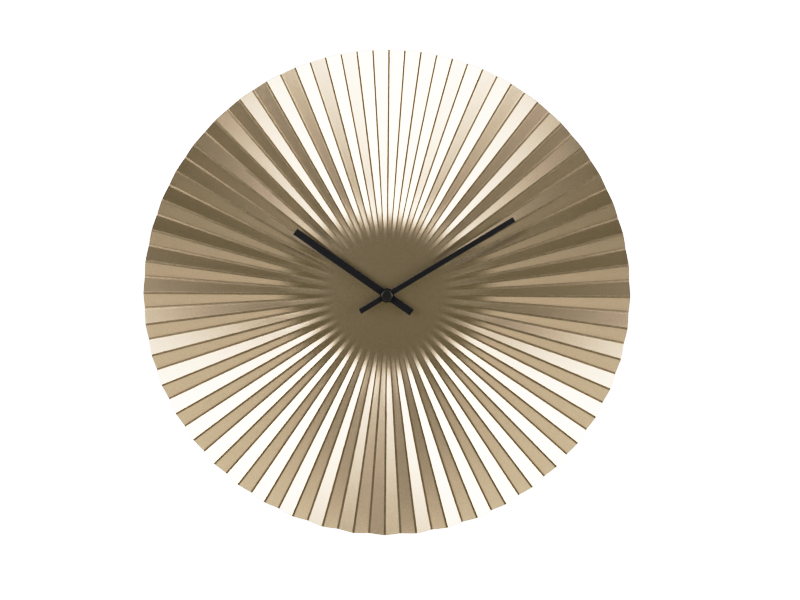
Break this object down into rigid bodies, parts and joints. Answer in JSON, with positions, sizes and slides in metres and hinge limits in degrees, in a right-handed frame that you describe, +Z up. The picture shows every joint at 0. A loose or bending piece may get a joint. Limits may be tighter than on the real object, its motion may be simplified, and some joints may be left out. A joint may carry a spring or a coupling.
{
  "type": "wall clock",
  "caption": "Round wall clock with a gold pleated sunburst dial, plain black hour and minute hands, and a quartz movement that hangs on a keyhole bracket.",
  "frame": {"origin": "on the hand shaft's axis, in the plane of the movement's back, which rests against the wall", "axes": "+Z up, +Y into the wall, so the dial faces -Y, and +X to the right as seen from the front"},
  "size_m": [0.5, 0.0378, 0.5],
  "materials": {
    "gold_dial": "satin",
    "black_hands": "satin",
    "black_hub": "gloss",
    "brass_fittings": "satin",
    "rubber_seal": "matte",
    "zinc_steel": "satin",
    "black_case": "matte",
    "grey_plastic": "matte",
    "white_plastic": "satin",
    "red_plastic": "satin",
    "green_board": "satin",
    "black_resin": "gloss",
    "bright_steel": "satin",
    "core_steel": "satin",
    "copper_wire": "satin",
    "cell_wrap": "gloss"
  },
  "bodies": {
    "clock": {"pleated_dial": "gold_dial", "hex_nut": "brass_fittings", "brass_washer": "brass_fittings", "threaded_bushing": "brass_fittings", "rubber_washer": "rubber_seal", "hanger_bracket": "zinc_steel", "plate_screws": "zinc_steel", "cover_screws": "zinc_steel", "front_case": "black_case", "rear_cover": "black_case", "middle_plate": "grey_plastic", "coil_bobbin": "grey_plastic", "circuit_board": "green_board", "chip_blob": "black_resin", "quartz_crystal": "bright_steel", "positive_contact": "bright_steel", "negative_contact": "bright_steel", "stator": "core_steel", "coil_core": "core_steel", "coil_winding": "copper_wire"},
    "minute_group": {"cannon_pinion": "brass_fittings", "clutch_spring": "bright_steel", "minute_hand": "black_hands", "minute_hand_collet": "brass_fittings", "cap_nut": "black_hub"},
    "hour_group": {"hour_wheel": "white_plastic", "hour_hand": "black_hands", "hour_hand_collet": "brass_fittings"},
    "motion_group": {"motion_wheel": "white_plastic"},
    "setting_group": {"setting_knob": "red_plastic"},
    "rotor_group": {"rotor_magnet": "core_steel", "rotor_pinion": "white_plastic"},
    "intermediate_group": {"intermediate_wheel": "white_plastic"},
    "seconds_group": {"seconds_wheel": "white_plastic"},
    "third_group": {"third_wheel": "white_plastic"},
    "centre_group": {"centre_wheel": "white_plastic"},
    "cell": {"battery_cell": "bright_steel", "battery_wrap": "cell_wrap"}
  },
  "joints": [
    {"name": "minute_hand_turn", "type": "hinge", "parent": "clock", "child": "minute_group", "pos_m": [0, -0.01, 0], "axis": [0, 1, 0], "continuous": true},
    {"name": "hour_hand_turn", "type": "hinge", "parent": "clock", "child": "hour_group", "pos_m": [0, -0.01, 0], "axis": [0, 1, 0], "continuous": true},
    {"name": "motion_wheel_turn", "type": "hinge", "parent": "clock", "child": "motion_group", "pos_m": [-0.0112, -0.01, 0], "axis": [0, 1, 0], "continuous": true},
    {"name": "setting_knob_turn", "type": "hinge", "parent": "clock", "child": "setting_group", "pos_m": [-0.0184, -0.01, 0.00858], "axis": [0, 1, 0], "continuous": true},
    {"name": "rotor_spin", "type": "hinge", "parent": "clock", "child": "rotor_group", "pos_m": [0.01566, -0.01, 0.00963], "axis": [0, 1, 0], "continuous": true},
    {"name": "intermediate_wheel_turn", "type": "hinge", "parent": "clock", "child": "intermediate_group", "pos_m": [0.00947, -0.01, 0.00345], "axis": [0, 1, 0], "continuous": true},
    {"name": "seconds_wheel_turn", "type": "hinge", "parent": "clock", "child": "seconds_group", "pos_m": [0, -0.01, 0], "axis": [0, 1, 0], "continuous": true},
    {"name": "third_wheel_turn", "type": "hinge", "parent": "clock", "child": "third_group", "pos_m": [-0.0051, -0.01, 0.00883], "axis": [0, 1, 0], "continuous": true},
    {"name": "centre_wheel_turn", "type": "hinge", "parent": "clock", "child": "centre_group", "pos_m": [0, -0.01, 0], "axis": [0, 1, 0], "continuous": true},
    {"name": "cell_slide", "type": "slide", "parent": "clock", "child": "cell", "axis": [0, 1, 0], "range_m": [0, 0.025]}
  ],
  "couplings": [
    {"joint": "hour_hand_turn", "follows": "minute_hand_turn", "ratio": 0.083333},
    {"joint": "motion_wheel_turn", "follows": "minute_hand_turn", "ratio": -0.33333},
    {"joint": "setting_knob_turn", "follows": "minute_hand_turn", "ratio": 1},
    {"joint": "intermediate_wheel_turn", "follows": "rotor_spin", "ratio": -0.16667},
    {"joint": "seconds_wheel_turn", "follows": "rotor_spin", "ratio": 0.033333},
    {"joint": "third_wheel_turn", "follows": "rotor_spin", "ratio": -0.0041667},
    {"joint": "centre_wheel_turn", "follows": "rotor_spin", "ratio": 0.00055556}
  ]
}
